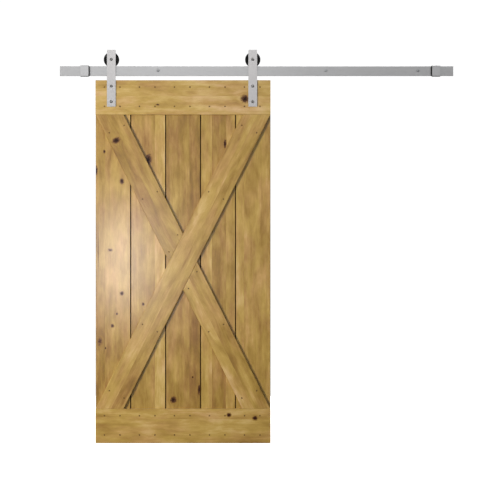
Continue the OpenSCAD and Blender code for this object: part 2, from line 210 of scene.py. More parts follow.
def middle(node: str) -> Vector:
    """Centre of a CAD node's box, in metres."""
    low, high = corners(node)
    return (low + high) / 2


def dress(node: str, material: Material, edge: float = 0.0) -> Object:
    """Give a CAD node its finish, and ease its sharp edges as handling and finishing do.

    Args:
        node: The node's name.
        material: Its finish.
        edge: Width of the rounding on its edges, in metres, or 0 for none.

    Returns:
        The node's object.
    """
    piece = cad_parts[node]
    if not piece.material_slots:
        piece.data.materials.append(material)
    for holder in piece.material_slots:
        holder.material = material
    if edge:
        weld = piece.modifiers.new("weld", "WELD")
        weld.merge_threshold = 0.01 * MM
        # Triangles become whole faces, so that only real edges are rounded
        flat = piece.modifiers.new("flat faces", "DECIMATE")
        flat.decimate_type = "DISSOLVE"
        flat.angle_limit = radians(0.5)
        bevel = piece.modifiers.new("eased edges", "BEVEL")
        bevel.width, bevel.segments = edge, 3
        bevel.limit_method = "ANGLE"
        bevel.angle_limit = radians(40)
        bevel.miter_outer = "MITER_ARC"
    log.info("%s: %s", node, material.name)
    return piece


# ---- meshes


def bevel_sharp(bm: BMesh, width: float, angle: float = 35.0) -> None:
    """Round every edge of a mesh that is sharper than an angle.

    Args:
        bm: The mesh.
        width: Width of the rounding, in metres.
        angle: The angle, in degrees.
    """
    sharp = [e for e in bm.edges if len(e.link_faces) == 2 and e.calc_face_angle() > radians(angle)]
    bmesh.ops.bevel(
        bm,
        geom=sharp,
        offset=width,
        segments=2,
        profile=0.5,
        affect="EDGES",
        material=-1,
        clamp_overlap=True,
    )


def lathe(profile: list[Size], steps: int, closed: bool = True) -> BMesh:
    """Turn a profile about the Y axis.

    Args:
        profile: Radius and depth of each corner, in metres.
        steps: Facets round the axis.
        closed: The last corner joins the first.

    Returns:
        The turned mesh.
    """
    bm = bmesh.new()
    verts = [bm.verts.new((r, y, 0.0)) for r, y in profile]
    ends = [*zip(verts, verts[1:]), *([(verts[-1], verts[0])] if closed else [])]
    edges = [bm.edges.new(pair) for pair in ends]
    bmesh.ops.spin(
        bm,
        geom=verts + edges,
        cent=(0, 0, 0),
        axis=(0, 1, 0),
        angle=2 * pi,
        steps=steps,
        use_merge=True,
    )
    bmesh.ops.remove_doubles(bm, verts=bm.verts, dist=0.001 * MM)
    bmesh.ops.recalc_face_normals(bm, faces=bm.faces)
    for face in bm.faces:
        face.smooth = True
    return bm


def set_radius(vert: BMVert, radius: float) -> None:
    """Move a vertex straight to a distance from the Y axis."""
    scale = radius / hypot(vert.co.x, vert.co.z)
    vert.co = (vert.co.x * scale, vert.co.y, vert.co.z * scale)


def ring(bm: BMesh, radius: float, depth: float) -> list[BMVert]:
    """Find the vertices of a turned mesh on one circle.

    Args:
        bm: The mesh.
        radius: The circle's radius, in metres.
        depth: Its depth.

    Returns:
        The vertices.
    """
    near = 0.001 * MM
    return [
        v
        for v in bm.verts
        if abs(hypot(v.co.x, v.co.z) - radius) < near and abs(v.co.y - depth) < near
    ]


def press_hexagon(bm: BMesh, flats: float, radius: float, depth: float, slope: float = 0.0) -> None:
    """Move a circle of a turned mesh out to a hexagon.

    Args:
        bm: The mesh.
        flats: The hexagon's width across its flats, in metres.
        radius: The circle's radius.
        depth: Its depth.
        slope: How steeply its corners fall back along the axis, as a tangent.
    """
    for vert in ring(bm, radius, depth):
        turn = atan2(vert.co.z, vert.co.x) % (pi / 3) - pi / 6
        reach = flats / 2 / cos(turn)
        vert.co.y += slope * (reach - flats / 2)
        set_radius(vert, reach)


def join(target: BMesh, part: BMesh, place: Vector) -> None:
    """Copy a mesh into another one at a place, and free it.

    Args:
        target: The mesh that grows.
        part: The mesh that is copied.
        place: Where its origin goes.
    """
    bmesh.ops.translate(part, verts=part.verts, vec=place)
    mesh = bpy.data.meshes.new("part")
    part.to_mesh(mesh)
    part.free()
    target.from_mesh(mesh)
    bpy.data.meshes.remove(mesh)


def hand_over(
    bm: BMesh,
    name: str,
    body: str,
    material: Material,
    node: str | None = None,
) -> None:
    """Make a mesh a piece of the object.

    Args:
        bm: The finished mesh, which is freed.
        name: The piece's name.
        body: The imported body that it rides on.
        material: Its finish.
        node: The CAD node that it stands for.
    """
    mesh = bpy.data.meshes.new(name)
    bm.to_mesh(mesh)
    bm.free()
    mesh.set_sharp_from_angle(angle=CREASE)
    mesh.materials.append(material)
    piece = bpy.data.objects.new(name, mesh)
    bpy.context.scene.collection.objects.link(piece)
    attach(piece, body)
    if node:
        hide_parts(node)
    log.info("%s: %d faces on %s, %s", name, len(mesh.polygons), body, material.name)


# ---- finishes


@dataclass(frozen=True)
class Metal:
    """A metal whose brushing or turning marks run one way.

    Attributes:
        title: The real material.
        colour: Its colour.
        roughness: Mean roughness.
        lay: Which way the marks run.
        mark: Distance between marks, in mm. Real ones are some 0.05 mm apart, too fine to show,
            so they are drawn about ten times as coarse.
        run: Length of a mark, in mm.
        relief: Depth of the marks, in mm.
        spread: How far the roughness varies.
        cloud: Width of the patches left by uneven pressure on the belt, in mm.
        patchy: How strongly the patches show beside the marks.
        dull: Brightness of the dullest marks.
    """

    title: str
    colour: str
    roughness: float
    lay: Lay = Lay.TURNED
    mark: float = 0.5
    run: float = 90.0
    relief: float = 0.02
    spread: float = 0.12
    cloud: float = 35.0
    patchy: float = 0.35
    dull: float = 0.86

    def build(self, centre: Vector) -> Material:
        """Make the finish for a piece.

        Args:
            centre: A point on the axis that turning marks go round.

        Returns:
            The material.
        """
        material, tree, shader = new_material(self.title)
        place = add(tree, "TexCoord").outputs["Object"]
        fine, long = 1 / (self.mark * MM), 1 / (self.run * MM)
        path: Source = place
        scale = (long, fine, fine) if self.lay is Lay.LENGTHWAYS else (fine, fine, long)
        if self.lay is Lay.TURNED:
            # Marks lie at equal distances from the axis, as the tool leaves them
            local = add(tree, "VectorMath", {0: place, 1: centre}, operation="SUBTRACT")
            flat = add(tree, "VectorMath", {0: local, 1: (1, 0, 1)}, operation="MULTIPLY")
            radius = add(tree, "VectorMath", {0: flat}, operation="LENGTH").outputs["Value"]
            along = add(tree, "SeparateXYZ", {0: local}).outputs["Y"]
            path = add(tree, "CombineXYZ", {"X": radius, "Y": along})
            scale = (fine, fine, 1.0)
        brushed = add(tree, "VectorMath", {0: path, 1: scale}, operation="MULTIPLY")
        settings = {"Scale": 1.0, "Detail": 3.0, "Roughness": 0.65}
        marks = add(tree, "TexNoise", {"Vector": brushed, **settings})
        settings = {"Scale": 1 / (self.cloud * MM), "Detail": 2.0}
        cloud = add(tree, "TexNoise", {"Vector": place, **settings})
        mixed = add(tree, "Math", {0: cloud, 1: self.patchy, 2: marks}, operation="MULTIPLY_ADD")
        low, high = self.roughness - self.spread / 2, self.roughness + self.spread / 2
        limits = {"From Min": 0.35, "To Min": low, "To Max": high}
        rough = add(tree, "MapRange", {"Value": mixed, **limits})
        bright = linear(self.colour)
        dull = (*(c * self.dull for c in bright[:3]), 1.0)
        tone = add(tree, "ValToRGB", {0: mixed}, stops=((0.4, dull), (0.85, bright)))
        depth = {"Strength": 0.35, "Distance": self.relief * MM}
        bump = add(tree, "Bump", {"Height": marks, **depth})
        look = {"Metallic": 1.0, "Base Color": tone, "Roughness": rough, "Normal": bump}
        wire(tree, shader, look)
        return material


@dataclass(frozen=True)
class Moulded:
    """Plastic, rubber, wax or paint with a fine grain.

    Attributes:
        title: The real material.
        colour: Its colour.
        worn: The colour of its lighter specks.
        roughness: Its roughness.
        grit: Size of its grain, in mm.
        relief: Depth of the grain, in mm.
        shine: Strength of its highlights.
        cloud: Width of its paler patches, in mm.
    """

    title: str
    colour: str
    worn: str
    roughness: float
    grit: float
    relief: float
    shine: float = 0.5
    cloud: float = 22.0

    def build(self) -> Material:
        """Make the finish.

        Returns:
            The material.
        """
        material, tree, shader = new_material(self.title)
        place = add(tree, "TexCoord").outputs["Object"]
        grain, cloud = (
            add(tree, "TexNoise", {"Vector": place, "Scale": 1 / (size * MM), "Detail": 4.0})
            for size in (self.grit, self.cloud)
        )
        mixed = add(tree, "Math", {0: grain, 1: 0.5, 2: cloud}, operation="MULTIPLY_ADD")
        stops = ((0.55, linear(self.colour)), (0.95, linear(self.worn)))
        tone = add(tree, "ValToRGB", {0: mixed}, stops=stops)
        low, high = self.roughness - 0.05, self.roughness + 0.08
        limits = {"From Min": 0.5, "To Min": low, "To Max": high}
        rough = add(tree, "MapRange", {"Value": mixed, **limits})
        bump = add(tree, "Bump", {"Strength": 0.4, "Distance": self.relief * MM, "Height": grain})
        look = {"Base Color": tone, "Roughness": rough, "Normal": bump}
        wire(tree, shader, {"Specular IOR Level": self.shine, **look})
        return material


@dataclass(frozen=True)
class Knot:
    """A knot, check or swirl in a board's face.

    Attributes:
        x: Distance from the leaf's left edge, in mm.
        z: Height above the leaf's bottom edge, in mm.
        across: Half its width across the grain, in mm.
        along: Half its length along the grain, in mm.
        dark: 1 for a dark heart, less for a brown one, 0 for a swirl in the grain.
    """

    x: float
    z: float
    across: float
    along: float
    dark: float = 1.0


@dataclass(frozen=True)
class Board:
    """One board of the leaf, glued up from staves.

    Attributes:
        node: The CAD node.
        grain: Which way its grain runs.
        staves: Where each stave ends, as a share of the width, and its tone from -1 to 1.
        seed: Picks the stretch of timber that the board was cut from.
        knots: What shows in its face.
    """

    node: str
    grain: Grain
    staves: tuple[Size, ...]
    seed: float
    knots: tuple[Knot, ...] = ()


@dataclass(frozen=True)
class KnottyAlder:
    """Knotty alder, planed and sanded, under a clear satin coat.

    Its figure is soft, with broad pale streaks, rosier clouds and dark knots that the grain flows
    round. The coat gives a wide, milky highlight.

    Attributes:
        planks: Planks in the leaf.
        shades: The wood from its darkest streaks to its palest.
        rosy: The same shades where the wood is redder.
        steps: Where those shades lie in the figure.
        heart: A knot from its heart to its rim.
        rims: Where those shades lie, as half the distance in the knot's radii.
        groove_shade: Colour of the painted shade in the joints between planks.
        joint: How far from a joint's middle the painted shade reaches, in mm.
        roughness: Roughness of the wood.
        coat: Roughness of the coat.
        fibre: Width and length of a fibre streak, in mm.
        streak: Width and length of a broad streak, in mm.
        figure: Width and length of the loops in the growth rings, in mm.
        blotch: Width and length of the blotchy clouds in the wood's colour, in mm.
        blush: Width and length of the redder parts, in mm.
        pore: Width and length of a pore, in mm, drawn some five times as wide as it is.
        rings: Growth rings in one loop.
        weights: How strongly the fibres, streaks, loops and clouds, the late wood and the pores
            shift the shade.
        burr: Size of the unevenness in a knot's outline, in mm.
        ragged: How uneven that outline is, in the knot's radii.
        draw: How far a knot draws the grain after it, across and along.
        film: Strength of the coat.
        shine: Strength of the bare wood's highlights.
        relief: Depth of the fibres and pores, in mm.
    """

    planks: int = 5
    shades: tuple[str, ...] = ("#664a1c", "#8d6e2c", "#ae9049", "#d0b57a")
    rosy: tuple[str, ...] = ("#66421c", "#8f6a35", "#b28e53", "#d2b287")
    steps: tuple[float, ...] = (0.10, 0.36, 0.60, 0.88)
    heart: tuple[str, ...] = ("#120702", "#2e1606", "#55300f", "#3f210a", "#76501d", "#94722f")
    rims: tuple[float, ...] = (0.05, 0.28, 0.40, 0.50, 0.62, 0.85)
    # Painted shade: a dark colour laid into the joints between planks
    groove_shade: str = "#2e1c08"
    joint: float = 2.6
    roughness: float = 0.5
    coat: float = 0.31
    fibre: Size = (1.2, 45.0)
    streak: Size = (22.0, 420.0)
    figure: Size = (75.0, 560.0)
    blotch: Size = (55.0, 150.0)
    blush: Size = (70.0, 240.0)
    pore: Size = (0.7, 9.0)
    rings: float = 8.0
    weights: tuple[float, ...] = (0.27, 0.38, 0.30, 0.74, -0.035, -0.10)
    burr: float = 10.0
    ragged: float = 1.7
    draw: tuple[float, float, float] = (-0.72, 0.0, -0.2)
    film: float = 0.8
    shine: float = 0.2
    relief: float = 0.15

    def build(
        self, board: Board, centre: Vector, tilt: float, width: float, corner: Vector
    ) -> Material:
        """Make the finish for one board.

        Args:
            board: The board.
            centre: The middle of the board.
            tilt: Its lean about the Y axis, in radians.
            width: Its width across the grain, in metres.
            corner: The leaf's lower left corner.

        Returns:
            The material.
        """
        title = "satin coated knotty alder, " + board.node.replace("_", " ")
        material, tree, shader = new_material(title)
        place = add(tree, "TexCoord").outputs["Object"]
        # In this frame X runs across the board and Z along its grain
        turn = {"Vector": place, "Location": centre, "Rotation": (0, tilt, 0)}
        local = add(tree, "Mapping", turn, vector_type="TEXTURE")
        flow, near = self.knots(tree, board, centre, tilt, corner, local)
        tone = self.staves(tree, board, width, local)
        wood, fibre, pore = self.grain(tree, board, tone, flow)
        gloss = None
        if board.grain is Grain.UPRIGHT:
            wood, gloss = self.joints(tree, corner, place, wood)
        if near is not None:
            hearts = tuple(zip(self.rims, map(linear, self.heart)))
            half = add(tree, "Math", {0: near, 1: 0.5}, operation="MULTIPLY")
            heart = add(tree, "ValToRGB", {0: half}, stops=hearts)
            rim = {"Value": near, "From Min": 1.0, "From Max": 2.1}
            clear = add(tree, "MapRange", rim, interpolation_type="SMOOTHSTEP")
            wood = add(tree, "Mix", {0: clear, 6: heart, 7: wood}, data_type="RGBA").outputs[2]
            # The coat sinks into a knot, which stays dull
            limits = {"From Min": 0.5, "From Max": 1.1, "To Min": 0.1}
            sunk = add(tree, "MapRange", {"Value": near, **limits})
            gloss = add(tree, "Math", {0: sunk, 1: gloss or 1.0}, operation="MULTIPLY")
        film: Source = self.film
        if gloss is not None:
            film = add(tree, "Math", {0: gloss, 1: self.film}, operation="MULTIPLY")
        low, high = self.roughness - 0.04, self.roughness + 0.06
        limits = {"From Min": 0.3, "From Max": 0.7, "To Min": low, "To Max": high}
        rough = add(tree, "MapRange", {"Value": fibre, **limits})
        height = add(tree, "Math", {0: fibre, 1: 0.7, 2: pore}, operation="MULTIPLY_ADD")
        depth = {"Strength": 0.25, "Distance": self.relief * MM}
        bump = add(tree, "Bump", {"Height": height, **depth})
        look = {"Base Color": wood, "Roughness": rough, "Normal": bump}
        coat = {"Coat Weight": film, "Coat Roughness": self.coat}
        wire(tree, shader, {"Specular IOR Level": self.shine, **look, **coat})
        return material

    @staticmethod
    def staves(tree: NodeTree, board: Board, width: float, local: Node) -> Node:
        """Give each stave of a board its tone.

        Args:
            tree: The board's node tree.
            board: The board.
            width: Its width across the grain, in metres.
            local: Places in the board's own frame.

        Returns:
            The tone, from 0 to 1.
        """
        x = add(tree, "SeparateXYZ", {0: local})
        share = add(tree, "Math", {0: x, 1: 1 / width, 2: 0.5}, operation="MULTIPLY_ADD")
        starts = (0.0, *(end for end, _ in board.staves[:-1]))
        levels = (0.5 + 0.5 * level for _, level in board.staves)
        stops = tuple((start, (level, level, level, 1.0)) for start, level in zip(starts, levels))
        tone = add(tree, "ValToRGB", {0: share}, stops=stops)
        tone.color_ramp.interpolation = "CONSTANT"
        return tone

    def grain(
        self, tree: NodeTree, board: Board, tone: Node, flow: Source
    ) -> tuple[NodeSocket, Node, Node]:
        """Draw the wood without its knots and joints.

        Args:
            tree: The board's node tree.
            board: The board.
            tone: The staves' tone.
            flow: Places along the bent grain.

        Returns:
            The colour, the fibres and the pores.
        """
        # Each stave, and each board, is cut from another place in the timber
        stave_step, board_step = (4.7, 3.1, 9.3), Vector((1.7, 0.9, 2.3))
        cut = add(tree, "VectorMath", {0: tone, 1: stave_step, 2: flow}, operation="MULTIPLY_ADD")
        shift = board_step * board.seed
        timber = add(tree, "VectorMath", {0: cut, 1: shift}, operation="ADD")
        sizes = (self.fibre, self.streak, self.figure, self.blotch, self.blush, self.pore)
        noises = []
        for (across, along), detail in zip(sizes, (4.0, 4.0, 1.5, 5.0, 3.0, 2.0)):
            stretch = (1 / (across * MM), 1 / (across * MM), 1 / (along * MM))
            path = add(tree, "VectorMath", {0: timber, 1: stretch}, operation="MULTIPLY")
            settings = {"Vector": path, "Scale": 1.0, "Detail": detail, "Roughness": 0.6}
            noises.append(add(tree, "TexNoise", settings))
        fibre, streak, figure, blotch, cloud, dots = noises
        pore = add(tree, "MapRange", {"Value": dots, "From Min": 0.60, "From Max": 0.72})
        turns = add(tree, "Math", {0: figure, 1: 2 * pi * self.rings}, operation="MULTIPLY")
        wave = add(tree, "Math", {0: turns}, operation="SINE")
        # Late wood is a thin darker line at the end of each year
        limits = {"Value": wave, "From Min": 0.2}
        late = add(tree, "MapRange", limits, interpolation_type="SMOOTHSTEP")
        value = add(tree, "Math", {0: tone, 1: 0.85, 2: -0.81}, operation="MULTIPLY_ADD")
        for source, weight in zip((fibre, streak, figure, blotch, late, pore), self.weights):
            terms = {0: source, 1: weight, 2: value}
            value = add(tree, "Math", terms, operation="MULTIPLY_ADD")
        olive, rosy = (
            add(tree, "ValToRGB", {0: value}, stops=tuple(zip(self.steps, map(linear, row))))
            for row in (self.shades, self.rosy)
        )
        blush = add(tree, "MapRange", {"Value": cloud, "From Min": 0.42, "From Max": 0.66})
        wood = add(tree, "Mix", {0: blush, 6: olive, 7: rosy}, data_type="RGBA")
        return wood.outputs[2], fibre, pore

    def joints(
        self,
        tree: NodeTree,
        corner: Vector,
        place: NodeSocket,
        wood: NodeSocket,
    ) -> tuple[NodeSocket, Node]:
        """Darken the joints between planks with painted shade, in place of the shade of their
        grooves.

        Args:
            tree: The board's node tree.
            corner: The leaf's lower left corner.
            place: Places in the object's frame.
            wood: The wood's colour.

        Returns:
            The colour with painted shade in the joints, and 1 on the wood that falls to 0 in the
            joints.
        """
        pitch = (corners("bottom_board")[1].x - corner.x) / self.planks
        x = add(tree, "SeparateXYZ", {0: place})
        across = add(tree, "Math", {0: x, 1: corner.x}, operation="SUBTRACT")
        limits = {"Value": across, "Min": pitch / 2, "Max": pitch * (self.planks - 0.5)}
        inner = add(tree, "Clamp", limits)
        away = add(tree, "Math", {0: inner, 1: pitch / 2}, operation="PINGPONG")
        reach = {"From Min": self.joint * MM, "From Max": (self.joint + 1.2) * MM}
        clear = add(tree, "MapRange", {"Value": away, **reach})
        # Painted shade: the joints take a dark colour in place of the shade in their grooves
        mixed = add(tree, "Mix", {0: clear, 6: linear(self.groove_shade), 7: wood}, data_type="RGBA")
        return mixed.outputs[2], clear

    def knots(
        self,
        tree: NodeTree,
        board: Board,
        centre: Vector,
        tilt: float,
        corner: Vector,
        local: Node,
    ) -> tuple[Node, Node | None]:
        """Bend the grain round a board's knots.

        Args:
            tree: The board's node tree.
            board: The board.
            centre: The middle of the board.
            tilt: Its lean about the Y axis, in radians.
            corner: The leaf's lower left corner.
            local: Places in the board's own frame.

        Returns:
            Places along the bent grain, and the distance to the nearest dark knot in its radii.
        """
        to_local = Matrix.Rotation(-tilt, 3, "Y")
        # Knots are never quite round
        settings = {"Scale": 1 / (self.burr * MM), "Detail": 5.0, "Roughness": 0.65}
        uneven = add(tree, "TexNoise", {"Vector": local, **settings})
        flow, near = local, None
        for knot in board.knots:
            spot = Vector((corner.x + knot.x * MM, centre.y, corner.z + knot.z * MM))
            spot = to_local @ (spot - centre)
            size = (1 / (knot.across * MM), 0, 1 / (knot.along * MM))
            away = add(tree, "VectorMath", {0: local, 1: spot}, operation="SUBTRACT")
            unit = add(tree, "VectorMath", {0: away, 1: size}, operation="MULTIPLY")
            radii = add(tree, "VectorMath", {0: unit}, operation="LENGTH").outputs["Value"]
            limits = {"From Min": 0.5, "From Max": 3.4, "To Min": 1.0, "To Max": 0.0}
            fade = {"Value": radii, **limits}
            pull = add(tree, "MapRange", fade, interpolation_type="SMOOTHSTEP")
            drawn = add(tree, "VectorMath", {0: away, "Scale": pull}, operation="SCALE")
            terms = {0: drawn, 1: self.draw, 2: flow}
            flow = add(tree, "VectorMath", terms, operation="MULTIPLY_ADD")
            if knot.dark:
                terms = {0: uneven, 1: self.ragged, 2: radii}
                ragged = add(tree, "Math", terms, operation="MULTIPLY_ADD")
                # A paler knot shows less of its heart
                paler = 0.1 - 0.9 * knot.dark
                reach = add(tree, "Math", {0: ragged, 1: paler}, operation="ADD")
                if near is None:
                    near = reach
                near = add(tree, "Math", {0: near, 1: reach}, operation="MINIMUM")
        return flow, near


# Belt-brushed stainless: fine lines along the bar break the highlight into a satin sheen
RAIL_STEEL = Metal("brushed stainless steel, rail", "#c6c6c7", 0.34, Lay.LENGTHWAYS, 0.7)
STRAP_STEEL = Metal("brushed stainless steel, strap", "#d4d2d2", 0.34, Lay.UPRIGHT, 0.7)
STOP_STEEL = Metal("brushed stainless steel, stop", "#cfcfd0", 0.34, Lay.LENGTHWAYS, 0.7)
# Turned stainless: rings round the axis
SPACER_STEEL = Metal("turned stainless steel", "#bfbebc", 0.34, mark=0.4)
# Polished stainless screw heads catch small bright highlights
SCREW_STEEL = Metal("polished stainless steel", "#dddcda", 0.30, spread=0.08)
# Bright zinc over mild steel: duller and a little blue
ZINC = Metal("zinc plated steel", "#c0c2c4", 0.40)
# Ground steel rings and balls: sharp, bright lines of light
BEARING_STEEL = Metal("ground bearing steel", "#b9babc", 0.18, mark=0.3, spread=0.08)
# Stamped brass: warm and a little dull
CAGE_BRASS = Metal("stamped brass", "#c9a75c", 0.32)
# Black oxide: dark, oily and slightly glossy
BLACK_OXIDE = Metal("black oxide steel", "#2b2b2d", 0.38)
# Drawn nail wire: grey and fairly smooth, deep in its hole
NAIL_STEEL = Metal("bright drawn steel", "#8f8f90", 0.36)
# Turned black nylon: near black with a dull sheen
NYLON = Moulded("turned black nylon", "#060607", "#0e0e0f", 0.5, 0.6, 0.02, 0.3)
# Moulded rubber: dead matt, with a dusty grain
RUBBER = Moulded("moulded black rubber", "#0c0c0c", "#191918", 0.8, 0.8, 0.05, 0.3)
# A dab of brown filler wax over each nail: soft and slightly shiny
WAX = Moulded("brown filler wax", "#4a3219", "#5e4425", 0.55, 1.2, 0.06)
# Matt white floor paint, rolled on
FLOOR_PAINT = Moulded("matt white floor paint", "#f2f2f2", "#f7f7f7", 0.6, 3.0, 0.05, 0.5, 400.0)


# ---- sub-assemblies


@dataclass
class Leaf:
    """The door leaf: upright planks, a board at each end, an X of braces, and the nails.

    Attributes:
        boards: What each board is made of.
        brace_width: Width of a brace, in metres.
        plank_edge: Width of the rounding on the planks' edges.
        board_edge: The same on boards and braces, and round their nail holes.
        hole: Radius of a nail's hole.
        dab: Radius of the wax smeared over it.
        steps: Facets round the wax.
        reach: Vertices of nails that are nearer to each other than this belong to one nail.
        timber: The boards' finish.
    """

    boards: tuple[Board, ...]
    brace_width: float = 146 * MM
    plank_edge: float = 0.7 * MM
    board_edge: float = 1.2 * MM
    hole: float = 3.05 * MM
    dab: float = 4.7 * MM
    steps: int = 20
    reach: float = 8 * MM
    timber: KnottyAlder = field(default_factory=KnottyAlder)

    def build(self) -> None:
        """Make the boards and the wax over the nails."""
        corner = corners("bottom_board")[0]
        for board in self.boards:
            low, high = corners(board.node)
            plank = board.grain is Grain.UPRIGHT
            centre, tilt, width = (low + high) / 2, 0.0, high.x - low.x
            if board.grain is Grain.LEVEL:
                tilt, width = pi / 2, high.z - low.z
            elif not plank:
                centre, tilt, width = middle("brace_long"), self.lean(board), self.brace_width
            wood = self.timber.build(board, centre, tilt, width, corner)
            dress(board.node, wood, self.plank_edge if plank else self.board_edge)
        wax, iron = WAX.build(), NAIL_STEEL.build(middle("top_board"))
        for group in ("nails_top_board", "nails_bottom_board", "nails_braces"):
            sunk = corners(group)[0].y - corner.y
            bm = bmesh.new()
            for place in self.holes(dress(group, iron), corner.y):
                join(bm, self.plug(sunk), place)
            hand_over(bm, f"{group}_wax", Body.DOOR.value, wax)

    def lean(self, board: Board) -> float:
        """Work out the lean of a brace that reaches from corner to corner.

        Args:
            board: The brace.

        Returns:
            Its lean about the Y axis, in radians.
        """
        low, high = corners("bottom_board")
        panel_width = high.x - low.x
        panel_height = corners("top_board")[0].z - high.z
        diagonal = hypot(panel_width, panel_height)
        lean = acos(self.brace_width / diagonal) - atan2(panel_height, panel_width)
        return lean if board.grain is Grain.RISING else -lean

    def holes(self, nails: Object, face: float) -> list[Vector]:
        """Find where a group of nails goes through the front face.

        Args:
            nails: The CAD object.
            face: Depth of the front face, in metres.

        Returns:
            The middle of each nail's hole.
        """
        groups: list[list[Vector]] = []
        for vert in nails.data.vertices:
            for group in groups:
                if hypot(group[0].x - vert.co.x, group[0].z - vert.co.z) < self.reach:
                    group.append(vert.co)
                    break
            else:
                groups.append([vert.co])
        spans = [[(min(v[i] for v in g), max(v[i] for v in g)) for i in (0, 2)] for g in groups]
        return [Vector((sum(x) / 2, face, sum(z) / 2)) for x, z in spans]

    def plug(self, sunk: float) -> BMesh:
        """Turn the dab of wax that fills one nail's hole.

        Args:
            sunk: Depth of the nail's head below the face, in metres.

        Returns:
            The plug, slightly hollow, its thin rim smeared over the edge of the hole.
        """
        profile = [
            (0.0, 0.35 * MM),
            (self.hole * 0.8, 0.2 * MM),
            (self.hole * 1.2, -0.06 * MM),
            (self.dab * 0.92, -0.1 * MM),
            (self.dab, 0.0),
            (self.hole * 0.97, 0.1 * MM),
            (self.hole * 0.97, sunk - 0.02 * MM),
            (0.0, sunk - 0.02 * MM),
        ]
        return lathe(profile, self.steps, closed=False)


@dataclass
class ButtonScrew:
    """A button head socket screw along the Y axis, its head towards the room.

    Attributes:
        head: Radius of the head, in metres.
        rim: Height of the head's straight rim.
        dome: Height of the dome above it.
        socket: Width of the socket across its flats.
        sunk: Depth of the socket.
        drill: Depth of the drill point below it.
        chamfer: Width of the lead-in round the socket and at the screw's end.
        shank: Radius of the shank.
        arcs: Facets down the dome.
        steps: Facets round the head.
    """

    head: float = 8.75 * MM
    rim: float = 1.0 * MM
    dome: float = 4.5 * MM
    socket: float = 6.0 * MM
    sunk: float = 3.0 * MM
    drill: float = 0.9 * MM
    chamfer: float = 0.7 * MM
    shank: float = 4.9 * MM
    arcs: int = 7
    steps: int = 48

    @property
    def height(self) -> float:
        """Height of the head, in metres."""
        return self.rim + self.dome

    def mesh(self, length: float) -> BMesh:
        """Make the screw, its seat at the origin.

        Args:
            length: Length below the head, in metres.

        Returns:
            The mesh.
        """
        ball = (self.head**2 + self.dome**2) / (2 * self.dome)
        wall, top = self.socket / 2, -self.height
        first, last = acos(wall * 1.22 / ball), acos(self.head / ball)
        turns = [first + (last - first) * k / self.arcs for k in range(self.arcs + 1)]
        profile = [
            (0.0, top + self.sunk + self.drill),
            (wall * 0.96, top + self.sunk),
            (wall, top + self.chamfer),
            *((ball * cos(a), top + ball - ball * sin(a)) for a in turns),
            (self.head, 0.0),
            (self.shank, 0.0),
            (self.shank, length - self.chamfer),
            (self.shank - self.chamfer, length),
            (0.0, length),
        ]
        bm = lathe(profile, self.steps, closed=False)
        press_hexagon(bm, self.socket, wall * 0.96, top + self.sunk)
        press_hexagon(bm, self.socket, wall, top + self.chamfer)
        bevel_sharp(bm, 0.18 * MM)
        return bm


@dataclass
class Hanger:
    """A strap hanger with its screws, barrel nuts, axle, spacer, washer and lock nut.

    Attributes:
        side: Which hanger it is.
        screw: The button screws.
        strap_edge: Width of the rounding on the strap's edges, in metres.
        small_edge: The same on the spacer, the washer and the barrel nuts.
        flats: Width of the lock nut across its flats.
        collar: Radius of its collar.
        collar_height: Height of its collar.
        bore: Radius of its bore.
        chamfer: Width of its chamfers.
        slope: Steepness of the chamfer on its corners, as a tangent.
        steps: Facets round the nut.
    """

    side: Side
    screw: ButtonScrew = field(default_factory=ButtonScrew)
    strap_edge: float = 0.6 * MM
    small_edge: float = 0.2 * MM
    flats: float = 16.0 * MM
    collar: float = 7.2 * MM
    collar_height: float = 2.0 * MM
    bore: float = 4.95 * MM
    chamfer: float = 0.6 * MM
    slope: float = tan(radians(30))
    steps: int = 72

    def build(self) -> None:
        """Make the strap and its fasteners."""
        side = self.side.value
        axle = middle(f"axle_bolt_{side}")
        zinc = ZINC.build(axle)
        dress(f"strap_{side}", STRAP_STEEL.build(axle), self.strap_edge)
        dress(f"axle_spacer_{side}", zinc, self.small_edge)
        dress(f"axle_washer_{side}", zinc, self.small_edge)
        dress(f"barrel_nuts_{side}", SCREW_STEEL.build(axle), self.small_edge)
        dress(f"bearing_inner_{side}", BEARING_STEEL.build(axle))
        self.screws(f"axle_bolt_{side}")
        self.screws(f"door_bolts_{side}")
        self.nut(axle, zinc)

    def screws(self, node: str) -> None:
        """Make the one or two screws of a node.

        Args:
            node: The CAD node.
        """
        low, high = corners(node)
        x, seat, head = (low.x + high.x) / 2, low.y + self.screw.height, self.screw.head
        heights = sorted({round(low.z + head, 6), round(high.z - head, 6)})
        bm = bmesh.new()
        for z in heights:
            join(bm, self.screw.mesh(high.y - seat), Vector((x, seat, z)))
        steel = SCREW_STEEL.build(Vector((x, seat, heights[0])))
        hand_over(bm, f"{node}_screws", Body.DOOR.value, steel, node)

    def nut(self, axle: Vector, zinc: Material) -> None:
        """Make the lock nut.

        Args:
            axle: A point on the axle.
            zinc: Its finish.
        """
        node = f"axle_nut_{self.side.value}"
        low, high = corners(node)
        half, back, cut = self.flats / 2, high.y - self.collar_height, self.chamfer
        profile = [
            (self.bore, low.y),
            (half * 0.93, low.y),
            (half, low.y),
            (half, back),
            (self.collar + cut / 2, back),
            (self.collar, back + cut / 2),
            (self.collar, high.y - cut),
            (self.collar - cut, high.y),
            (self.bore + cut, high.y),
            (self.bore, high.y - cut),
        ]
        bm = lathe(profile, self.steps)
        press_hexagon(bm, self.flats, half, low.y, self.slope)
        press_hexagon(bm, self.flats, half, back, -self.slope)
        bevel_sharp(bm, 0.15 * MM)
        bmesh.ops.translate(bm, verts=bm.verts, vec=(axle.x, 0, axle.z))
        hand_over(bm, f"{node}_hexagon", Body.DOOR.value, zinc, node)


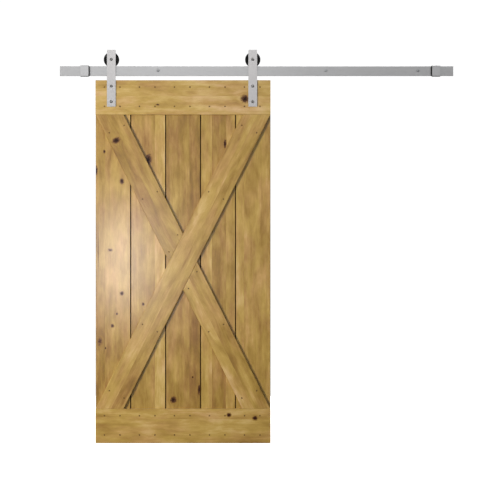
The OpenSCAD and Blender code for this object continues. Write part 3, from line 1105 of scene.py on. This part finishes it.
@dataclass
class Wheel:
    """A grooved nylon wheel with its ball bearing.

    Attributes:
        side: Which hanger it hangs on.
        flange: Height of the flanges above the tread, in metres.
        groove: Half the groove's width at the tread.
        flare: How much wider the groove is at the top.
        rim: Depth of the rim below the tread.
        hub: Radius of the hub.
        recess: Depth of the web below the faces.
        draft: How far the web's walls lean.
        corner: Width of the chamfer on the rim.
        seat: Radius of the bearing seat.
        shoulder: Radius of the shoulder before it.
        seat_half: Half the bearing's width.
        clip_width: Width of the groove for the spring ring.
        clip_depth: Depth of that groove.
        steps: Facets round the wheel.
    """

    side: Side
    flange: float = 6.8 * MM
    groove: float = 4.2 * MM
    flare: float = 1.6 * MM
    rim: float = 3.2 * MM
    hub: float = 20.0 * MM
    recess: float = 3.0 * MM
    draft: float = 1.5 * MM
    corner: float = 2.0 * MM
    seat: float = 15.0 * MM
    shoulder: float = 12.0 * MM
    seat_half: float = 4.5 * MM
    clip_width: float = 1.3 * MM
    clip_depth: float = 0.8 * MM
    steps: int = 120

    def build(self) -> None:
        """Turn the wheel and dress its bearing."""
        side = self.side.value
        node = f"wheel_{side}"
        low, high = corners(node)
        hub = (low + high) / 2
        half, outer = (high.y - low.y) / 2, (high.x - low.x) / 2
        tread = outer - self.flange
        rim, web, clip = tread - self.rim, half - self.recess, self.seat_half + 0.1 * MM
        web_side = [
            (self.hub, half),
            (self.hub + self.draft, web),
            (rim - self.draft, web),
            (rim, half),
            (outer - self.corner, half),
            (outer, half - self.corner),
            (outer, self.groove + self.flare),
            (tread, self.groove),
        ]
        profile = [
            (self.shoulder, -half),
            *((r, -y) for r, y in web_side),
            *reversed(web_side),
            (self.seat, half),
            (self.seat, clip + self.clip_width),
            (self.seat + self.clip_depth, clip + self.clip_width),
            (self.seat + self.clip_depth, clip),
            (self.seat, clip),
            (self.seat, -self.seat_half),
            (self.shoulder, -self.seat_half),
        ]
        bm = lathe(profile, self.steps)
        bevel_sharp(bm, 0.35 * MM, angle=25)
        bmesh.ops.translate(bm, verts=bm.verts, vec=hub)
        hand_over(bm, f"{node}_turned", node, NYLON.build(), node)
        for part, finish in (
            ("bearing_outer", BEARING_STEEL),
            ("bearing_shields", BEARING_STEEL),
            ("bearing_balls", BEARING_STEEL),
            ("bearing_cage", CAGE_BRASS),
            ("circlip", BLACK_OXIDE),
        ):
            dress(f"{part}_{side}", finish.build(hub))


@dataclass
class LagBolt:
    """A hexagon lag bolt with a coarse wood thread and a gimlet point.

    Attributes:
        flats: Width of the head across its flats, in metres.
        head: Height of the head.
        slope: Steepness of the chamfer on its corners, as a tangent.
        shank: Radius of the plain shank.
        narrowing: Depths between which the shank narrows to the thread's root.
        root: Radius at the root of the thread.
        crest: Radius at its crest.
        pitch: Advance of the thread in one turn.
        foot: Half the width of its ridge at the root.
        point: Length of the point.
        edge: Height of the easing under the head.
        facets: Facets round the head and core.
        steps: Facets of the thread in one turn.
    """

    flats: float = 14.3 * MM
    head: float = 6.5 * MM
    slope: float = tan(radians(30))
    shank: float = 4.0 * MM
    narrowing: Size = (-0.8 * MM, 0.6 * MM)
    root: float = 2.9 * MM
    crest: float = 3.5 * MM
    pitch: float = 3.6 * MM
    foot: float = 0.9 * MM
    point: float = 8.0 * MM
    edge: float = 0.4 * MM
    facets: int = 72
    steps: int = 24

    def mesh(self, front: float, tip: float) -> BMesh:
        """Make the bolt on the Y axis.

        Args:
            front: Depth of the head's front, in metres.
            tip: Depth of the point's tip.

        Returns:
            The mesh.
        """
        half, seat = self.flats / 2, front + self.head
        profile = [
            (0.0, front),
            (half * 0.94, front),
            (half, front),
            (half, seat - self.edge),
            (half * 0.97, seat),
            (self.shank, seat),
            (self.shank, self.narrowing[0]),
            (self.root, self.narrowing[1]),
            (self.root, tip - self.point),
            (0.4 * MM, tip - 0.3 * MM),
            (0.0, tip),
        ]
        bm = lathe(profile, self.facets, closed=False)
        press_hexagon(bm, self.flats, half, front, self.slope)
        press_hexagon(bm, self.flats, half, seat - self.edge)
        bevel_sharp(bm, 0.2 * MM)
        join(bm, self.thread(tip - self.point * 0.35), Vector((0, 0, 0)))
        return bm

    def thread(self, end: float) -> BMesh:
        """Wind the thread's ridge round the core.

        Args:
            end: Depth where the ridge runs out, in metres.

        Returns:
            The ridge, which narrows with the point.
        """
        bm = bmesh.new()
        inner, foot = self.root - 0.5 * MM, self.foot
        section = [
            (inner, 0.0),
            (inner, 2 * foot),
            (self.crest, foot * 1.05),
            (self.crest, foot * 0.95),
        ]
        face = bm.faces.new([bm.verts.new((r, y, 0.0)) for r, y in section])
        count = round((end - 2 * foot) / self.pitch * self.steps)
        bmesh.ops.spin(
            bm,
            geom=[face],
            cent=(0, 0, 0),
            axis=(0, 1, 0),
            dvec=(0, self.pitch / self.steps, 0),
            angle=2 * pi * count / self.steps,
            steps=count,
        )
        start = end - self.point * 0.65
        for vert in bm.verts:
            past = max(0.0, vert.co.y - start) / self.point
            set_radius(vert, hypot(vert.co.x, vert.co.z) * (1 - 0.9 * past))
        bmesh.ops.recalc_face_normals(bm, faces=bm.faces)
        for face in bm.faces:
            face.smooth = True
        return bm


@dataclass
class Track:
    """The rail, its standoffs and lag bolts, and the stops with their bumpers.

    Attributes:
        count: Number of lag bolts.
        bolt: The lag bolts.
        bar_edge: Width of the rounding on the rail, washers and standoffs, in metres.
        block_edge: The same on the stops and bumpers.
    """

    count: int = 5
    bolt: LagBolt = field(default_factory=LagBolt)
    bar_edge: float = 0.3 * MM
    block_edge: float = 0.8 * MM

    def build(self) -> None:
        """Make the bars, blocks and bolts."""
        dress("rail", RAIL_STEEL.build(middle("rail")), self.bar_edge)
        dress("lag_washers", ZINC.build(middle("lag_washers")), self.bar_edge)
        for k in range(1, self.count + 1):
            standoff, node = f"standoff_{k}", f"lag_bolt_{k}"
            dress(standoff, SPACER_STEEL.build(middle(standoff)), self.bar_edge)
            axis, (low, high) = middle(node), corners(node)
            bm = self.bolt.mesh(low.y, high.y)
            bmesh.ops.translate(bm, verts=bm.verts, vec=(axis.x, 0, axis.z))
            zinc = ZINC.build(axis)
            hand_over(bm, f"{node}_hexagon", Body.TRACK.value, zinc, node)
        rubber = RUBBER.build()
        for side in Side:
            stop = f"stop_{side.value}"
            dress(stop, STOP_STEEL.build(middle(stop)), self.block_edge)
            dress(f"bumper_{side.value}", rubber, self.block_edge)
        dress("stop_set_screws", BLACK_OXIDE.build(middle("stop_set_screws")))


# ---- studio


@dataclass(frozen=True)
class Softbox:
    """A soft light that the camera doesn't see.

    Attributes:
        name: Its name.
        place: Where it stands, from the leaf's middle, in metres.
        aim: What it points at, from the leaf's middle.
        size: Its width and height.
        power: Its power, in watts.
        colour: Its colour.
        diffuse: It lights surfaces.
        glossy: It shows in their gloss.
        timber_only: It lights only the leaf's boards.
    """

    name: str
    place: tuple[float, float, float]
    aim: tuple[float, float, float]
    size: Size
    power: float
    colour: str = "#ffffff"
    diffuse: bool = True
    glossy: bool = True
    timber_only: bool = False

    def hang(self, leaf: Vector) -> None:
        """Hang the light.

        Args:
            leaf: The leaf's middle.
        """
        light = bpy.data.lights.new(self.name, "AREA")
        light.shape = "RECTANGLE"
        light.size, light.size_y = self.size
        light.energy = self.power
        light.color = linear(self.colour)[:3]
        box = bpy.data.objects.new(self.name, light)
        box.location = leaf + Vector(self.place)
        sight = Vector(self.aim) - Vector(self.place)
        box.rotation_euler = sight.to_track_quat("-Z", "Y").to_euler()
        box.visible_camera = False
        box.visible_diffuse, box.visible_glossy = self.diffuse, self.glossy
        bpy.context.scene.collection.objects.link(box)
        if self.timber_only:
            timber = bpy.data.collections.new("timber")
            for board in BOARDS:
                timber.objects.link(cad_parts[board.node])
            box.light_linking.receiver_collection = timber


# The key gives the shadows, and a dimmer, larger glint stands in for it in gloss, so that the
# metals don't glare. The sheen is a tall lamp close by that shows in the boards' coat alone,
# and the gloss lights the metals.
SOFTBOXES = (
    Softbox("key", (-3.4, -4.2, 0.7), (0, 0, 0), (1.0, 1.0), 300, "#fffaf2", glossy=False),
    Softbox("glint", (-3.4, -4.2, 0.7), (0, 0, 0), (2.4, 2.4), 28, "#fffaf2", diffuse=False),
    Softbox(
        "sheen", (-0.45, -1.5, 0), (-0.45, 0, 0), (0.18, 0.6), 14, "#fff0ea",
        diffuse=False, timber_only=True,
    ),
    Softbox("wash", (0.2, -1.7, 0), (0.2, 0, 0), (0.6, 0.6), 5, glossy=False),
    Softbox("front", (1.0, -6.0, 2.8), (0.6, 0, 1.1), (5.0, 2.6), 42),
    Softbox("gloss", (-1.2, -6.0, 1.8), (-1.2, 0, 1.1), (3.4, 2.0), 19, diffuse=False),
    Softbox("back", (1.5, 5.0, 1.8), (0, 0, 0), (5.0, 4.0), 250, glossy=False),
    Softbox("back gloss", (1.5, 5.0, 1.8), (0, 0, 0), (7.0, 5.0), 70, diffuse=False),
    Softbox("top", (0.4, 0.6, 3.6), (0, 0, 0), (3.0, 1.0), 40),
)


@dataclass
class Studio:
    """A white room with soft lights, and a long lens straight on.

    Attributes:
        span: Width that the lens takes in at the leaf, in metres.
        distance: Distance of the camera.
        offset: How far right of and above the object's middle the lens points.
        floor_gap: Gap under the leaf.
        floor_half: Half the floor's width.
        glow: Light that the floor adds, so that it stays as white as the room.
        fill: Strength of the room's even light.
        white: Brightness of the room behind the object.
        lamps: The lights.
    """

    span: float = 2.903
    distance: float = 12.0
    offset: Size = (-0.038, -0.020)
    floor_gap: float = 12 * MM
    floor_half: float = 4.0
    glow: float = 0.8
    fill: float = 0.14
    white: float = 1.05
    lamps: tuple[Softbox, ...] = SOFTBOXES

    def build(self) -> None:
        """Set the camera, the floor, the lights and the room."""
        scene = bpy.context.scene
        scene.view_settings.view_transform = "Standard"
        low, high = (Vector(corner) for corner in CAD_BOX)
        leaf_low, leaf_high = corners("bottom_board")[0], corners("top_board")[1]
        aim = (low + high) / 2 + Vector((self.offset[0], 0, self.offset[1]))
        lens = bpy.data.cameras.new("camera")
        lens.sensor_width = 36
        lens.lens = lens.sensor_width * self.distance / self.span
        camera = bpy.data.objects.new("camera", lens)
        camera.location = (aim.x, leaf_low.y - self.distance, aim.z)
        camera.rotation_euler = (pi / 2, 0, 0)
        scene.collection.objects.link(camera)
        scene.camera = camera
        for lamp in self.lamps:
            lamp.hang((leaf_low + leaf_high) / 2)
        self.floor(leaf_low.z - self.floor_gap)
        self.room()

    def floor(self, height: float) -> None:
        """Lay a plain pale floor.

        Args:
            height: Its height, in metres.
        """
        bm = bmesh.new()
        bmesh.ops.create_grid(bm, x_segments=1, y_segments=1, size=self.floor_half)
        bmesh.ops.translate(bm, verts=bm.verts, vec=(0, 0, height))
        mesh = bpy.data.meshes.new("floor")
        bm.to_mesh(mesh)
        bm.free()
        paint = FLOOR_PAINT.build()
        shader = next(n for n in paint.node_tree.nodes if n.type == "BSDF_PRINCIPLED")
        shader.inputs["Emission Color"].default_value = linear("#ffffff")
        shader.inputs["Emission Strength"].default_value = self.glow
        mesh.materials.append(paint)
        floor = bpy.data.objects.new("floor", mesh)
        floor.visible_diffuse = floor.visible_glossy = False
        bpy.context.scene.collection.objects.link(floor)

    def room(self) -> None:
        """Light the room evenly, and show it white behind the object."""
        world = bpy.data.worlds.new("white room")
        world.use_nodes = True
        bpy.context.scene.world = world
        tree = world.node_tree
        tree.nodes.clear()
        white = linear("#ffffff")
        dim = add(tree, "Background", {"Color": white, "Strength": self.fill})
        bright = add(tree, "Background", {"Color": white, "Strength": self.white})
        seen = add(tree, "LightPath").outputs["Is Camera Ray"]
        add(tree, "OutputWorld", {0: add(tree, "MixShader", {0: seen, 1: dim, 2: bright})})


# ---- the leaf's timber

BOARDS = (
    Board(
        "plank_1", Grain.UPRIGHT, ((0.26, -0.1), (1.0, 0.1)), 1.0,
        (
            Knot(152, 1522, 9, 13), Knot(50, 1694, 5, 8), Knot(42, 1735, 22, 48, 0),
            Knot(5, 1583, 5, 22), Knot(14, 1118, 1.6, 105), Knot(84, 1121, 15, 9, 0.6),
            Knot(152, 870, 9, 10), Knot(123, 751, 6, 7, 0.7), Knot(97, 681, 9, 11, 0.7),
            Knot(57, 551, 4, 5), Knot(24, 590, 20, 34, 0.3),
        ),
    ),
    Board(
        "plank_2", Grain.UPRIGHT, ((0.67, 0.0), (1.0, 0.4)), 2.0,
        (Knot(306, 1648, 14, 27), Knot(276, 807, 7, 9, 0.8), Knot(290, 1480, 18, 60, 0)),
    ),
    Board(
        "plank_3", Grain.UPRIGHT, ((0.66, -0.05), (1.0, -0.22)), 3.0,
        (Knot(451, 251, 14, 15), Knot(563, 382, 6, 8, 0.7), Knot(601, 311, 7, 26, 0.9)),
    ),
    Board(
        "plank_4", Grain.UPRIGHT, ((0.31, 0.2), (0.70, -0.12), (1.0, 0.08)), 4.0,
        (Knot(752, 1740, 6.5, 19), Knot(700, 1120, 20, 60, 0)),
    ),
    Board(
        "plank_5", Grain.UPRIGHT, ((0.24, 0.3), (1.0, 0.13)), 5.0,
        (Knot(905, 1430, 22, 80, 0), Knot(955, 900, 15, 50, 0)),
    ),
    Board(
        "top_board", Grain.LEVEL, ((0.46, 0.36), (1.0, 0.46)), 6.0,
        (Knot(868, 2000, 17, 18), Knot(360, 1966, 4, 9, 0.8), Knot(620, 2050, 14, 60, 0)),
    ),
    Board(
        "bottom_board", Grain.LEVEL, ((0.30, 0.32), (1.0, 0.24)), 7.0,
        (Knot(775, 164, 9, 10), Knot(926, 146, 10, 11), Knot(560, 110, 26, 70, 0)),
    ),
    Board(
        "brace_long", Grain.RISING, ((0.55, 0.2), (1.0, 0.0)), 8.0,
        (Knot(640, 1410, 18, 45, 0), Knot(480, 1060, 20, 70, 0), Knot(250, 640, 14, 60, 0)),
    ),
    Board(
        "brace_upper", Grain.FALLING, ((0.5, -0.1), (1.0, 0.1)), 9.0,
        (Knot(120, 1758, 19, 13), Knot(300, 1420, 20, 60, 0), Knot(440, 1210, 16, 50, 0)),
    ),
    Board(
        "brace_lower", Grain.FALLING, ((0.42, 0.25), (1.0, 0.0)), 10.0,
        (Knot(655, 720, 18, 60, 0), Knot(740, 480, 16, 50, 0)),
    ),
)


def main() -> None:
    """Build the sub-assemblies in order, with the studio last."""
    logging.basicConfig(level=logging.INFO, format="%(name)s: %(message)s")
    Leaf(BOARDS).build()
    for side in Side:
        Hanger(side).build()
        Wheel(side).build()
    Track().build()
    Studio().build()


if __name__ == "__main__":
    main()
